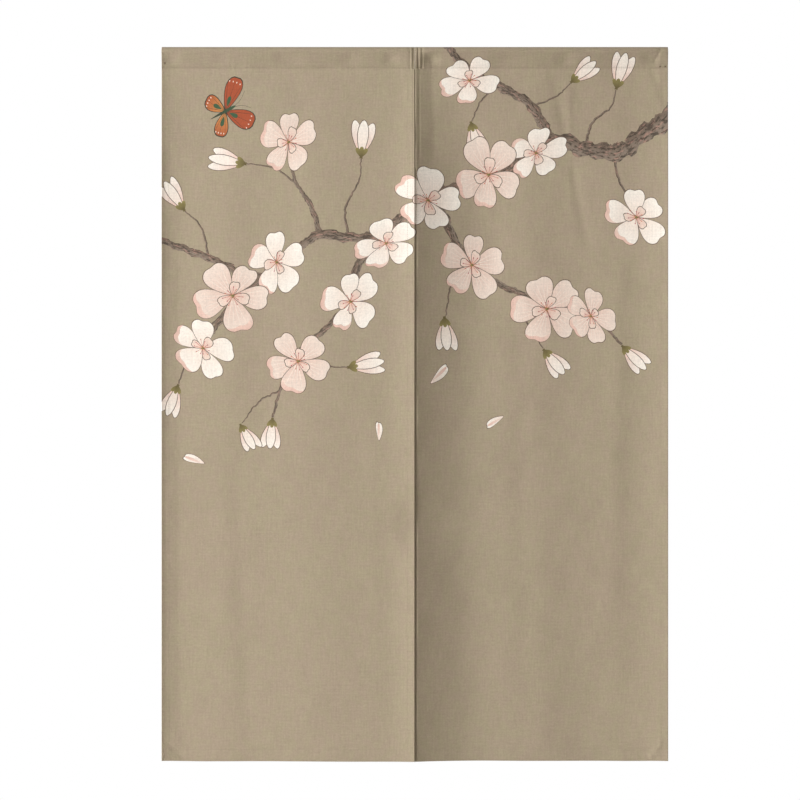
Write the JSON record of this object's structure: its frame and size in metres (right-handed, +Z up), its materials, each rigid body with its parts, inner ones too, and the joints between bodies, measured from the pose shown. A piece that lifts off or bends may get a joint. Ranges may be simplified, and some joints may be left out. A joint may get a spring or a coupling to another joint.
{
  "type": "noren curtain",
  "caption": "Split doorway curtain of plain-woven cloth: two hung panels joined near the top, open below, with a rod pocket along the top edge.",
  "frame": {"origin": "middle of the top edge of the rod pocket, where the curtain hangs", "axes": "+X across the doorway to the viewer's right, +Y away from the viewer, +Z up; the printed front faces -Y"},
  "size_m": [0.8509, 0.0188, 1.2],
  "materials": {
    "cloth": "matte plain weave, taupe, printed on the front"
  },
  "bodies": {
    "root": {"panel_left": "cloth", "panel_right": "cloth", "pocket_left": "cloth", "pocket_right": "cloth"}
  },
  "joints": []
}
